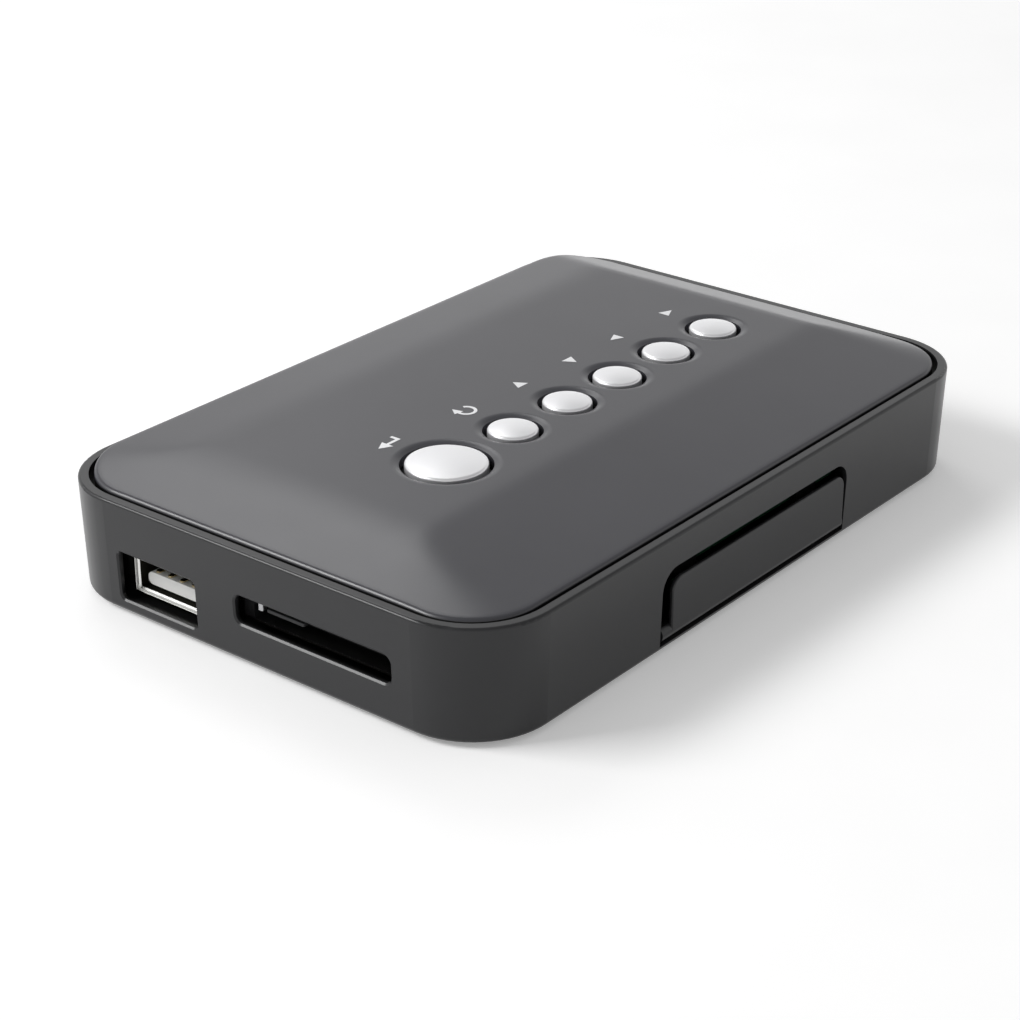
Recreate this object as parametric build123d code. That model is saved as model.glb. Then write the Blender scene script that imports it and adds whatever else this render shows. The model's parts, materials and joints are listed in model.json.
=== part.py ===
from build123d import *
import os
from math import atan, degrees

# Case: a drafted tub with a stepped rim
case_length = 120.0
case_width = 80.0
corner_radius = 12.5
draft_width = 0.5
case_wall = 2.2
floor_thickness = 1.6
rim_width = 1.5
rim_edge_radius = 0.45
base_edge_radius = 0.8
ledge_drop = 2.2
overrun = 4.0

# Cover: a crowned lid that sits on the ledge inside the rim
seat_gap = 0.15
groove_width = 0.75
flange_thickness = 1.0
cover_wall = 1.8
cover_edge_angle = 30.0
crown_rise = 2.4
front_edge_rise = 0.15
rear_edge_rise = 1.3
port_edge_rise = 0.15
far_edge_rise = 0.4
front_slope_width = 21.9
rear_slope_width = 12.0
port_slope_width = 12.5
far_slope_width = 7.45
soft_crease_radius = 60.0
front_crease_radius = 28.0
far_crease_radius = 5.0

# Feet pressed into the underside
foot_radius = 4.0
foot_proud = 0.6
foot_recess = 0.5
foot_gap = 0.1
foot_edge_radius = 0.2
foot_inset_x = 18.0
foot_inset_y = 12.0

# Vent slots in the floor
vent_count = 7
vent_width = 1.5
vent_length = 16.0
vent_pitch = 4.5

# Screws, bosses and posts
screw_inset_x = 9.0
screw_inset_y = 7.5
screw_radius = 1.25
screw_gap = 0.2
screw_head_radius = 2.3
screw_head_height = 1.6
screw_seat_rise = 2.4
screw_head_gap = 0.3
cross_width = 0.6
cross_depth = 0.8
cross_length = 2.6
case_screw_length = 12.0
board_screw_length = 6.0
pilot_spare = 0.5
boss_radius = 3.5
post_radius = 3.0

# Main board
board_thickness = 1.6
board_gap = 1.2
board_screw_place_shares = ((0.04, -0.38), (0.62, 0.14))

# Push buttons in one row on the cover's flat, the first one larger
button_names = ("enter", "return", "up", "down", "left", "right")
button_place_shares = (0.206, 0.359, 0.492, 0.620, 0.751, 0.883)
button_row_share = 0.267
enter_cap_radius = 5.9
small_cap_radius = 3.7
cap_proud = 0.35
cap_crown = 0.3
cap_edge_radius = 0.45
cap_gap = 0.72
recess_width = 0.45
recess_depth = 0.35
ear_overlap = 0.8
ear_thickness = 0.8
ear_play = 0.15
ear_band_share = 0.85
stem_radius = 1.8
stem_length = 1.35

# Tact switches under the buttons
switch_side = 6.0
switch_height = 3.5
plunger_radius = 1.7
plunger_fit = 0.08
plunger_proud = 1.3
plunger_depth = 1.4
plunger_room = 0.7

# All sockets hang under the board, just inside the wall
socket_setback = 0.4
socket_floor_gap = 0.2
sheet_thickness = 0.35
lip_chamfer = 0.25
contact_thickness = 0.2

# Port end: shares of the free width between the corner bosses
card_gap_share = 0.276
usb_gap_share = 0.47
port_wall = 1.2
port_pocket_margin = 1.2

# USB socket
usb_width = 13.1
usb_height = 5.95
usb_depth = 14.0
usb_side_margin = 0.8
usb_low_margin = 0.75
usb_top_margin = 0.6
usb_window_radius = 0.8
usb_base_depth = 4.0
usb_tongue_side_gap = 1.25
usb_tongue_thickness = 1.9
usb_tongue_rise = 0.85
usb_tongue_setback = 0.9
usb_tongue_radius = 0.85
usb_contact_count = 4
usb_contact_width = 1.0
usb_contact_pitch = 2.3
usb_contact_length = 6.0

# Card socket
sd_slot_width = 24.4
sd_slot_height = 2.3
sd_rail_width = 1.8
sd_depth = 28.0
sd_roof_thickness = 0.45
sd_back_wall = 1.5
sd_plate_thickness = 0.3
sd_window_margin = 1.45
sd_window_height = 4.2
sd_window_lap = 1.3
sd_window_radius = 1.2
sd_contact_count = 9
sd_contact_width = 1.2
sd_contact_margin = 1.6
sd_contact_length = 6.0

# Video socket in the rear wall
hdmi_place_share = -0.267
hdmi_width = 15.0
hdmi_height = 5.6
hdmi_depth = 11.0
hdmi_bevel = 1.6
hdmi_margin = 0.7
hdmi_window_radius = 0.8
hdmi_base_depth = 3.0
hdmi_tongue_side_gap = 1.75
hdmi_tongue_thickness = 1.2
hdmi_tongue_setback = 1.0

# Sound and picture jack in the rear wall
av_place_share = 0.133
av_body_width = 6.4
av_body_height = 6.0
av_body_depth = 11.5
av_bore_radius = 1.8
av_cavity_radius = 2.0
av_cavity_depth = 10.0
av_collar_skin = 0.5
av_collar_length = 5.0
av_collar_seat = 3.0
av_hole_gap = 0.3

# Power inlet in the rear wall
dc_place_share = 0.5
dc_body_width = 8.6
dc_body_height = 6.8
dc_body_depth = 13.0
dc_skin = 0.55
dc_bore_depth = 10.0
dc_pin_radius = 1.0
dc_pin_setback = 1.2
dc_hole_gap = 0.6

# Remote receiver and its lens at the far end
ir_y = 0.0
ir_lens_radius = 2.5
ir_lens_flange = 0.5
ir_lens_flange_thickness = 0.8
ir_lens_fit = 0.1
ir_lens_recess = 0.15
ir_lens_edge_radius = 0.4
ir_board_gap = 0.4
ir_body_depth = 4.6
ir_body_width = 6.0
ir_body_height = 6.0
ir_body_gap = 0.3

# Port door in the front wall, hinged along its bottom edge
window_width = 46.0
window_height = 10.4
window_radius = 3.2
door_left_gap = 2.5
door_right_gap = 0.4
door_top_gap = 2.0
door_recess = 0.05
door_thickness = 1.8
door_lip_thickness = 0.5
door_corner_radius = 2.0
door_edge_radius = 0.25
hinge_radius = 1.2
sill_depth = 0.8
sill_gap = 0.25
door_pin_radius = 0.6
door_pin_fit = 0.06
pin_grip = 3.0
jamb_length = 4.2
jamb_depth = 1.6
stop_width = 5.0
stop_drop = 4.5
stop_gap = 0.1
stop_lap = 0.8
stop_root = 1.5
stop_place_share = 0.65

# Drive socket behind the door
drive_height = 5.2
drive_body_depth = 6.0
drive_bay_depth = 5.4
drive_end_wall = 2.8
drive_slot_height = 2.6
drive_slot_depth = 4.5
drive_slot_margin = 0.75
drive_key_width = 1.4
drive_contact_counts = (7, 15)
drive_contact_pitch = 1.27
drive_contact_width = 0.7
drive_contact_length = 4.0

# Chips and small parts on top of the board
chip_height = 1.1
processor_side = 17.0
processor_height = 1.4
processor_place_shares = (-0.17, 0.46)
sink_side = 21.0
sink_base = 1.2
sink_height = 4.0
sink_fin_count = 6
sink_fin_thickness = 1.0
memory_length = 13.5
memory_width = 8.0
memory_place_shares = ((0.24, 0.30), (0.24, 0.64))
flash_length = 20.0
flash_width = 12.0
flash_place_shares = (0.60, 0.50)
crystal_length = 11.4
crystal_width = 4.7
crystal_height = 3.5
crystal_place_shares = (-0.58, 0.45)
inductor_side = 6.0
inductor_height = 2.8
inductor_edge_radius = 1.0
inductor_place_shares = ((0.62, -0.46), (0.62, -0.72))
capacitor_radius = 3.15
capacitor_height = 4.4
capacitor_base_side = 6.6
capacitor_base_height = 0.9
capacitor_place_shares = ((0.20, -0.48), (0.34, -0.48), (0.48, -0.48))

# Heights, stacked up from the floor
case_bottom = foot_proud
floor_top = case_bottom + floor_thickness
board_bottom = floor_top + socket_floor_gap + dc_body_height
board_top = board_bottom + board_thickness
plunger_top = board_top + switch_height + plunger_proud
ear_low = plunger_top + stem_length
ear_top = ear_low + ear_thickness
cover_under = ear_top + ear_play
cover_flat = cover_under + cover_wall
rim_top = cover_flat - crown_rise
ledge_z = rim_top - ledge_drop
case_height = rim_top - case_bottom
screw_seat_z = case_bottom + screw_seat_rise

# Plan places of the case and the cover
half_length = case_length / 2
half_width = case_width / 2
flange_inset = rim_width + seat_gap
crown_inset = rim_width + groove_width
front_crease = -half_width + crown_inset + front_slope_width
rear_crease = half_width - crown_inset - rear_slope_width
port_crease = -half_length + crown_inset + port_slope_width
far_crease = half_length - crown_inset - far_slope_width
button_row_y = front_crease + button_row_share * (rear_crease - front_crease)
board_half_length = half_length - case_wall - board_gap
board_half_width = half_width - case_wall - board_gap

# Port end sockets
port_face_x = -(half_length - case_wall - socket_setback)
port_bay_y = half_width - screw_inset_y - boss_radius
sd_width = sd_slot_width + 2 * sd_rail_width
port_free_width = 2 * port_bay_y - sd_width - usb_width
sd_y = -port_bay_y + card_gap_share * port_free_width + sd_width / 2
usb_y = sd_y + sd_width / 2 + usb_gap_share * port_free_width + usb_width / 2
usb_low = board_bottom - usb_height
sd_low = board_bottom - sd_roof_thickness - sd_slot_height

# Rear sockets
rear_face_y = half_width - case_wall - socket_setback
hdmi_x = hdmi_place_share * half_length
hdmi_low = board_bottom - hdmi_height
av_x = av_place_share * half_length
av_z = board_bottom - av_body_height / 2
av_collar_radius = av_body_height / 2 - av_collar_skin
dc_x = dc_place_share * half_length
dc_z = board_bottom - dc_body_height / 2
dc_bore_radius = dc_body_height / 2 - dc_skin

# Far end lens, door and drive socket
lens_z = board_bottom - ir_board_gap - ir_lens_radius - ir_lens_flange
door_face_y = -half_width + draft_width / 2 + door_recess
door_inner_y = door_face_y + door_thickness
hinge_y = door_face_y + hinge_radius
hinge_z = floor_top - sill_depth + sill_gap + hinge_radius
window_top = floor_top + window_height
jamb_face_y = -half_width + case_wall + jamb_depth
drive_face_y = jamb_face_y + drive_bay_depth
drive_slot_widths = [n * drive_contact_pitch + 2 * drive_slot_margin for n in drive_contact_counts]
drive_slots_width = sum(drive_slot_widths) + drive_key_width


def block(x_low, x_high, y_low, y_high, z_low, z_high):
    """Box between two corners."""
    centre = Pos((x_low + x_high) / 2, (y_low + y_high) / 2, (z_low + z_high) / 2)
    return centre * Box(x_high - x_low, y_high - y_low, z_high - z_low)


def upright(x, y, z_low, z_high, radius):
    """Vertical cylinder between two heights."""
    return Pos(x, y, (z_low + z_high) / 2) * Cylinder(radius, z_high - z_low)


def rod_x(x_low, x_high, y, z, radius):
    """Cylinder along X between two places."""
    return Pos((x_low + x_high) / 2, y, z) * Rot(0, 90, 0) * Cylinder(radius, x_high - x_low)


def rod_y(y_low, y_high, x, z, radius):
    """Cylinder along Y between two places."""
    return Pos(x, (y_low + y_high) / 2, z) * Rot(90, 0, 0) * Cylinder(radius, y_high - y_low)


def case_outline(inset):
    """Rounded rectangle of the case's rim, drawn in by an inset."""
    return RectangleRounded(case_length - 2 * inset, case_width - 2 * inset, corner_radius - inset)


def slab(inset, z_low, z_high):
    """Rounded plate of the case's outline, drawn in by an inset, between two heights."""
    return Pos(0, 0, z_low) * extrude(case_outline(inset), z_high - z_low)


def corners(inset_x, inset_y):
    """The four corner places at these distances from the case's sides."""
    x = half_length - inset_x
    y = half_width - inset_y
    return [(-x, -y), (x, -y), (-x, y), (x, y)]


def on_board(shares):
    """Place on the board, from shares of its half length and half width."""
    return shares[0] * board_half_length, shares[1] * board_half_width


def row(count, pitch):
    """Evenly spaced places about zero."""
    return [(i - (count - 1) / 2) * pitch for i in range(count)]


def wall_face(half_side, z):
    """How far out the drafted wall's outer face stands at a height."""
    return half_side - draft_width * (rim_top - z) / case_height


def button_places():
    """The six buttons: name, place along the row and cap radius."""
    flat_length = far_crease - port_crease
    places = [port_crease + share * flat_length for share in button_place_shares]
    radii = [enter_cap_radius] + [small_cap_radius] * (len(places) - 1)
    return list(zip(button_names, places, radii))


# Lower case
def tub():
    """Drafted shell with a ledge inside its rim."""
    angle = degrees(atan(draft_width / case_height))
    body = Pos(0, 0, case_bottom) * extrude(case_outline(draft_width), case_height, taper=-angle)
    body = fillet(body.edges().group_by(Axis.Z)[-1], rim_edge_radius)
    body = fillet(body.edges().group_by(Axis.Z)[0], base_edge_radius)
    body -= slab(case_wall, floor_top, rim_top + overrun)
    return body - slab(rim_width, ledge_z, rim_top + overrun)


def wall_window(width, height, y, z_low, radius):
    """Cutter for a rounded window in the port end's wall."""
    cutter = block(
        -half_length - overrun, port_face_x, y - width / 2, y + width / 2, z_low, z_low + height
    )
    return fillet(cutter.edges().filter_by(Axis.X), radius)


def port_windows():
    """Cutters for the USB and card windows."""
    usb = wall_window(
        usb_width + 2 * usb_side_margin,
        usb_height + usb_low_margin + usb_top_margin,
        usb_y,
        usb_low - usb_low_margin,
        usb_window_radius,
    )
    sd_window_low = board_bottom + sd_window_lap - sd_window_height
    sd_window_width = sd_slot_width + 2 * sd_window_margin
    card = wall_window(sd_window_width, sd_window_height, sd_y, sd_window_low, sd_window_radius)
    return usb + card


def port_pocket():
    """Cutter that thins the port end's wall from inside, round the two windows."""
    y_low = sd_y - sd_width / 2 - port_pocket_margin
    y_high = usb_y + usb_width / 2 + usb_side_margin + port_pocket_margin
    z_high = board_bottom + sd_window_lap + port_pocket_margin
    return block(-half_length + port_wall, -half_length + case_wall, y_low, y_high, floor_top, z_high)


def rear_windows():
    """Cutters for the three sockets in the rear wall."""
    half = hdmi_width / 2 + hdmi_margin
    hdmi = block(
        hdmi_x - half, hdmi_x + half, rear_face_y, half_width + overrun,
        hdmi_low - hdmi_margin, board_bottom + hdmi_margin,
    )
    hdmi = fillet(hdmi.edges().filter_by(Axis.Y), hdmi_window_radius)
    av = rod_y(rear_face_y, half_width + overrun, av_x, av_z, av_collar_radius + av_hole_gap)
    dc = rod_y(rear_face_y, half_width + overrun, dc_x, dc_z, dc_bore_radius + dc_hole_gap)
    return hdmi + av + dc


def door_window():
    """Cutter for the door's window, with round upper corners."""
    cutter = block(
        -window_width / 2, window_width / 2, -half_width - overrun, jamb_face_y,
        floor_top - sill_depth, window_top,
    )
    return fillet(cutter.edges().filter_by(Axis.Y).group_by(Axis.Z)[-1], window_radius)


def beside_window(side, length):
    """Low and high places along X of a stretch beside the window, on its left or right."""
    near = side * window_width / 2
    return sorted((near, near + side * length))


def jambs():
    """Blocks beside the window that carry the ends of the door's pin."""
    blocks = []
    for side in (-1, 1):
        x_low, x_high = beside_window(side, jamb_length)
        blocks.append(
            block(
                x_low, x_high, -half_width + case_wall, jamb_face_y, floor_top, hinge_z + hinge_radius
            )
        )
    return blocks


def pin_slots():
    """Cutters for the pin's ends: a round seat, open towards the inside."""
    cutters = []
    for side in (-1, 1):
        x_low, x_high = beside_window(side, pin_grip)
        seat = rod_x(x_low, x_high, hinge_y, hinge_z, door_pin_radius)
        mouth = block(
            x_low, x_high, hinge_y, jamb_face_y + overrun,
            hinge_z - door_pin_radius, hinge_z + door_pin_radius,
        )
        cutters.append(seat + mouth)
    return cutters


def door_stops():
    """Tabs at the window's top edge that the closed door rests against."""
    y_low = door_inner_y + stop_gap
    y_high = -half_width + case_wall + stop_lap
    tabs = []
    for side in (-1, 1):
        x = side * stop_place_share * window_width / 2
        tabs.append(
            block(
                x - stop_width / 2, x + stop_width / 2, y_low, y_high,
                window_top - stop_drop, window_top + stop_root,
            )
        )
    return tabs


def lower_case():
    """Tub with its windows, bosses, jambs, screw holes, vents and foot recesses."""
    body = tub()
    body -= port_windows()
    lips = [e for e in body.edges() if is_port_lip(e)]
    body = chamfer(lips, lip_chamfer)
    body -= port_pocket()
    body -= rear_windows()
    body -= door_window()
    for jamb in jambs():
        body += jamb
    for cutter in pin_slots():
        body -= cutter
    for tab in door_stops():
        body += tab
    for x, y in corners(screw_inset_x, screw_inset_y):
        body += upright(x, y, floor_top, board_bottom, boss_radius)
        body -= upright(x, y, case_bottom, board_bottom, screw_radius + screw_gap)
        body -= upright(x, y, case_bottom, screw_seat_z, screw_head_radius + screw_head_gap)
    for shares in board_screw_place_shares:
        x, y = on_board(shares)
        body += upright(x, y, floor_top, board_bottom, boss_radius)
        body -= upright(x, y, floor_top, board_bottom, screw_radius)
    for x in row(vent_count, vent_pitch):
        slot = Pos(x, 0, case_bottom) * extrude(SlotOverall(vent_length, vent_width, 90), floor_thickness)
        body -= slot
    for x, y in corners(foot_inset_x, foot_inset_y):
        body -= upright(x, y, case_bottom, case_bottom + foot_recess, foot_radius + foot_gap)
    lens_hole = ir_lens_radius + ir_lens_fit
    return body - rod_x(half_length - case_wall, half_length + overrun, ir_y, lens_z, lens_hole)


def is_port_lip(edge):
    """True for the outer edges of the windows in the port end."""
    middle = edge @ 0.5
    outer = -wall_face(half_length, middle.Z)
    in_plan = abs(middle.Y) < half_width - corner_radius
    in_height = case_bottom + base_edge_radius < middle.Z < ledge_z
    return in_plan and in_height and abs(middle.X - outer) < lip_chamfer / 2


# Top cover
def crown_profile(half_side, rises, slopes, radii, drop, base):
    """Section of the crown across one direction: two slopes and a flat between soft creases."""
    edge = half_side - crown_inset
    low_rise, high_rise = rises
    low_slope, high_slope = slopes
    low_radius, high_radius = radii
    outline = Polyline(
        (-edge, base),
        (edge, base),
        (edge, rim_top + high_rise - drop),
        (edge - high_slope, cover_flat - drop),
        (-edge + low_slope, cover_flat - drop),
        (-edge, rim_top + low_rise - drop),
        close=True,
    )
    face = make_face(outline)
    face = fillet(face.vertices().group_by(Axis.Y)[-1].sort_by(Axis.X)[0], low_radius)
    creases = [v for v in face.vertices() if abs(v.X - (edge - high_slope)) < crown_inset / 2]
    return fillet([v for v in creases if v.Y > rim_top - drop], high_radius)


def crown_block(inset, drop, base):
    """Solid under the crowned surface, drawn in by an inset and lowered by a drop."""
    across = crown_profile(
        half_width,
        (front_edge_rise, rear_edge_rise),
        (front_slope_width, rear_slope_width),
        (front_crease_radius, soft_crease_radius),
        drop,
        base,
    )
    along = crown_profile(
        half_length,
        (port_edge_rise, far_edge_rise),
        (port_slope_width, far_slope_width),
        (soft_crease_radius, far_crease_radius),
        drop,
        base,
    )
    across_bar = extrude(Plane.YZ * across, half_length, both=True)
    along_bar = extrude(Plane.XZ * along, half_width, both=True)
    return slab(inset, base, cover_flat + overrun) & across_bar & along_bar


def crown():
    """Crown of the cover, bevelled above the rim."""
    outline = case_outline(crown_inset)
    bevel = Pos(0, 0, rim_top) * extrude(outline, crown_rise, taper=cover_edge_angle)
    sleeve = slab(crown_inset, ledge_z, rim_top) + bevel
    return crown_block(crown_inset, 0, ledge_z) & sleeve


def top_cover():
    """Crowned shell with a seating flange, screw posts and holes for the buttons."""
    body = crown() + slab(flange_inset, ledge_z, ledge_z + flange_thickness)
    body -= crown_block(crown_inset + cover_wall, cover_wall, ledge_z - overrun)
    reach = crown_block(flange_inset, cover_wall / 2, board_top)
    for x, y in corners(screw_inset_x, screw_inset_y):
        body += upright(x, y, board_top, cover_flat, post_radius) & reach
        tip = screw_seat_z + case_screw_length + pilot_spare
        body -= upright(x, y, board_top, tip, screw_radius)
    for name, x, radius in button_places():
        hole = radius + cap_gap
        body -= upright(x, button_row_y, cover_under - overrun, cover_flat + overrun, hole)
        recess = Cone(hole, hole + recess_width, recess_depth)
        body -= Pos(x, button_row_y, cover_flat - recess_depth / 2) * recess
    return body


# Buttons and switches
def button(x, radius):
    """Crowned cap with two retaining ears below the cover and a stem on the switch."""
    cap_top = cover_flat + cap_proud
    rim_z = cap_top - cap_crown
    dome = TangentArc((0, cap_top), (radius, rim_z), tangent=(1, 0))
    section = make_face(dome + Polyline((radius, rim_z), (radius, ear_low), (0, ear_low), (0, cap_top)))
    section = fillet(section.vertices().sort_by_distance((radius, rim_z))[0], cap_edge_radius)
    cap = Pos(x, button_row_y, 0) * revolve(Plane.XZ * section, Axis.Z)
    reach = radius + cap_gap + ear_overlap
    disc = upright(x, button_row_y, ear_low, ear_top, reach)
    band = block(
        x - radius * ear_band_share, x + radius * ear_band_share,
        button_row_y - reach, button_row_y + reach, ear_low, ear_top,
    )
    cap += disc & band
    return cap + upright(x, button_row_y, plunger_top, ear_low, stem_radius)


def plunger(x):
    """Round plunger that the button's stem presses into its switch."""
    low = board_top + switch_height - plunger_depth
    return upright(x, button_row_y, low, plunger_top, plunger_radius)


def switch_body(x):
    """Square switch housing with a well for its plunger."""
    half = switch_side / 2
    top = board_top + switch_height
    body = block(x - half, x + half, button_row_y - half, button_row_y + half, board_top, top)
    well = upright(x, button_row_y, top - plunger_depth - plunger_room, top, plunger_radius + plunger_fit)
    return body - well


# Main board and fasteners
def main_board():
    """Board of the case's inner outline, with screw holes."""
    body = slab(case_wall + board_gap, board_bottom, board_top)
    places = corners(screw_inset_x, screw_inset_y) + [on_board(s) for s in board_screw_place_shares]
    for x, y in places:
        body -= upright(x, y, board_bottom, board_top, screw_radius + screw_gap)
    return body


def screw(x, y, seat_z, length, head_side):
    """Pan head screw: its head on one side of the seat and its shank on the other."""
    head_end = seat_z + head_side * screw_head_height
    tip = seat_z - head_side * length
    head = upright(x, y, *sorted((seat_z, head_end)), screw_head_radius)
    cross_low, cross_high = sorted((head_end, head_end - head_side * cross_depth))
    for turn in (0, 90):
        arm = Rot(0, 0, turn) * Box(cross_length, cross_width, cross_high - cross_low)
        head -= Pos(x, y, (cross_low + cross_high) / 2) * arm
    return head + upright(x, y, *sorted((seat_z, tip)), screw_radius)


def foot(x, y):
    """Round rubber foot seated in its recess."""
    body = upright(x, y, 0, case_bottom + foot_recess, foot_radius)
    return fillet(body.edges().group_by(Axis.Z)[0], foot_edge_radius)


# USB socket
def usb_shell():
    """Open-fronted sheet metal box."""
    y_low = usb_y - usb_width / 2
    y_high = usb_y + usb_width / 2
    x_end = port_face_x + usb_depth
    outer = block(port_face_x, x_end, y_low, y_high, usb_low, board_bottom)
    inner = block(
        port_face_x, x_end, y_low + sheet_thickness, y_high - sheet_thickness,
        usb_low + sheet_thickness, board_bottom - sheet_thickness,
    )
    return outer - inner


def usb_tongue_low():
    """Underside of the USB tongue."""
    return usb_low + sheet_thickness + usb_tongue_rise


def usb_tongue():
    """Moulded tongue with the base block that closes the socket."""
    x_end = port_face_x + usb_depth
    half = usb_width / 2 - sheet_thickness
    base = block(
        x_end - usb_base_depth, x_end, usb_y - half, usb_y + half,
        usb_low + sheet_thickness, board_bottom - sheet_thickness,
    )
    low = usb_tongue_low()
    tongue = block(
        port_face_x + usb_tongue_setback, x_end - usb_base_depth,
        usb_y - half + usb_tongue_side_gap, usb_y + half - usb_tongue_side_gap,
        low, low + usb_tongue_thickness,
    )
    ends = tongue.edges().filter_by(Axis.X).group_by(Axis.Z)
    tongue = fillet(ends[0] + ends[-1], usb_tongue_radius)
    return base + tongue


def usb_contacts():
    """Four flat contacts on top of the tongue."""
    low = usb_tongue_low() + usb_tongue_thickness
    x_end = port_face_x + usb_depth - usb_base_depth
    strips = []
    for y in row(usb_contact_count, usb_contact_pitch):
        y_low = usb_y + y - usb_contact_width / 2
        y_high = usb_y + y + usb_contact_width / 2
        strips.append(block(x_end - usb_contact_length, x_end, y_low, y_high, low, low + contact_thickness))
    return strips


# Card socket
def sd_frame():
    """Moulded frame with the card slot, open at the front and below."""
    x_end = port_face_x + sd_depth
    half = sd_width / 2
    body = block(port_face_x, x_end, sd_y - half, sd_y + half, sd_low, board_bottom)
    slot = sd_slot_width / 2
    return body - block(
        port_face_x, x_end - sd_back_wall, sd_y - slot, sd_y + slot, sd_low, sd_low + sd_slot_height
    )


def sd_plate_cover():
    """Sheet metal plate that closes the slot from below."""
    half = sd_width / 2
    return block(
        port_face_x, port_face_x + sd_depth, sd_y - half, sd_y + half, sd_low - sd_plate_thickness, sd_low
    )


def sd_contacts():
    """Contact strips under the slot's roof."""
    x_end = port_face_x + sd_depth - sd_back_wall
    top = sd_low + sd_slot_height
    strips = []
    pitch = (sd_slot_width - 2 * sd_contact_margin - sd_contact_width) / (sd_contact_count - 1)
    for y in row(sd_contact_count, pitch):
        y_low = sd_y + y - sd_contact_width / 2
        y_high = sd_y + y + sd_contact_width / 2
        strips.append(block(x_end - sd_contact_length, x_end, y_low, y_high, top - contact_thickness, top))
    return strips


# Rear sockets
def hdmi_outline(inset):
    """Six-sided section of the video socket, drawn in by an inset."""
    half = hdmi_width / 2 - inset
    low = hdmi_low + inset
    high = board_bottom - inset
    shoulder = low + hdmi_bevel
    outline = Polyline(
        (-half, high),
        (-half, shoulder),
        (-half + hdmi_bevel, low),
        (half - hdmi_bevel, low),
        (half, shoulder),
        (half, high),
        close=True,
    )
    return make_face(outline)


def hdmi_bar(inset, y_low, y_high):
    """Bar of the video socket's section between two places along Y."""
    plane = Plane(origin=(hdmi_x, y_high, 0), x_dir=(1, 0, 0), z_dir=(0, -1, 0))
    return extrude(plane * hdmi_outline(inset), y_high - y_low)


def hdmi_shell():
    """Open-fronted sheet metal shell."""
    y_end = rear_face_y - hdmi_depth
    return hdmi_bar(0, y_end, rear_face_y) - hdmi_bar(sheet_thickness, y_end, rear_face_y)


def hdmi_tongue():
    """Moulded tongue with its base block."""
    y_end = rear_face_y - hdmi_depth
    base = hdmi_bar(sheet_thickness, y_end, y_end + hdmi_base_depth)
    middle = (hdmi_low + board_bottom) / 2
    half = hdmi_width / 2 - sheet_thickness - hdmi_tongue_side_gap
    tongue = block(
        hdmi_x - half, hdmi_x + half,
        y_end + hdmi_base_depth, rear_face_y - hdmi_tongue_setback,
        middle - hdmi_tongue_thickness / 2, middle + hdmi_tongue_thickness / 2,
    )
    return base + tongue


def av_jack_body():
    """Jack housing with a seat for its collar and a cavity for the plug."""
    half = av_body_width / 2
    body = block(
        av_x - half, av_x + half, rear_face_y - av_body_depth, rear_face_y,
        board_bottom - av_body_height, board_bottom,
    )
    body -= rod_y(rear_face_y - av_collar_seat, rear_face_y, av_x, av_z, av_collar_radius)
    return body - rod_y(rear_face_y - av_cavity_depth, rear_face_y, av_x, av_z, av_cavity_radius)


def av_jack_collar():
    """Plated collar that guides the plug."""
    y_low = rear_face_y - av_collar_seat
    y_high = y_low + av_collar_length
    tube = rod_y(y_low, y_high, av_x, av_z, av_collar_radius)
    return tube - rod_y(y_low, y_high, av_x, av_z, av_bore_radius)


def dc_jack_body():
    """Power inlet housing with a round bore."""
    half = dc_body_width / 2
    body = block(
        dc_x - half, dc_x + half, rear_face_y - dc_body_depth, rear_face_y,
        board_bottom - dc_body_height, board_bottom,
    )
    return body - rod_y(rear_face_y - dc_bore_depth, rear_face_y, dc_x, dc_z, dc_bore_radius)


def dc_jack_pin():
    """Centre pin of the power inlet, standing on the bore's end."""
    return rod_y(rear_face_y - dc_bore_depth, rear_face_y - dc_pin_setback, dc_x, dc_z, dc_pin_radius)


# Remote receiver
def ir_lens():
    """Dark lens with a flange behind the wall."""
    wall_x = half_length - case_wall
    face_x = wall_face(half_length, lens_z) - ir_lens_recess
    barrel = rod_x(wall_x, face_x, ir_y, lens_z, ir_lens_radius)
    barrel = fillet(barrel.edges().group_by(Axis.X)[-1], ir_lens_edge_radius)
    return barrel + rod_x(
        wall_x - ir_lens_flange_thickness, wall_x, ir_y, lens_z, ir_lens_radius + ir_lens_flange
    )


def ir_receiver():
    """Receiver block under the board, just behind the lens."""
    x_high = half_length - case_wall - ir_lens_flange_thickness - ir_body_gap
    half = ir_body_width / 2
    return block(
        x_high - ir_body_depth, x_high, ir_y - half, ir_y + half,
        board_bottom - ir_body_height, board_bottom,
    )


# Port door
def port_door():
    """Flap with a round hinge barrel along its bottom edge, bored for its pin and bevelled inside."""
    x_low = -window_width / 2 + door_left_gap
    x_high = window_width / 2 - door_right_gap
    panel = block(x_low, x_high, door_face_y, door_inner_y, hinge_z, window_top - door_top_gap)
    panel = fillet(panel.edges().filter_by(Axis.Y).group_by(Axis.Z)[-1], door_corner_radius)
    inner = [e for e in panel.edges().group_by(Axis.Y)[-1] if (e @ 0.5).Z > hinge_z + door_edge_radius]
    panel = chamfer(inner, door_thickness - door_lip_thickness)
    outer = [e for e in panel.edges().group_by(Axis.Y)[0] if (e @ 0.5).Z > hinge_z + door_edge_radius]
    panel = fillet(outer, door_edge_radius)
    barrel_low = -window_width / 2 + door_right_gap
    panel += rod_x(barrel_low, x_high, hinge_y, hinge_z, hinge_radius)
    return panel - rod_x(barrel_low, x_high, hinge_y, hinge_z, door_pin_radius + door_pin_fit)


def door_pin():
    """Steel pin through the door, with its ends in the jambs."""
    half = window_width / 2 + pin_grip
    return rod_x(-half, half, hinge_y, hinge_z, door_pin_radius)


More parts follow.
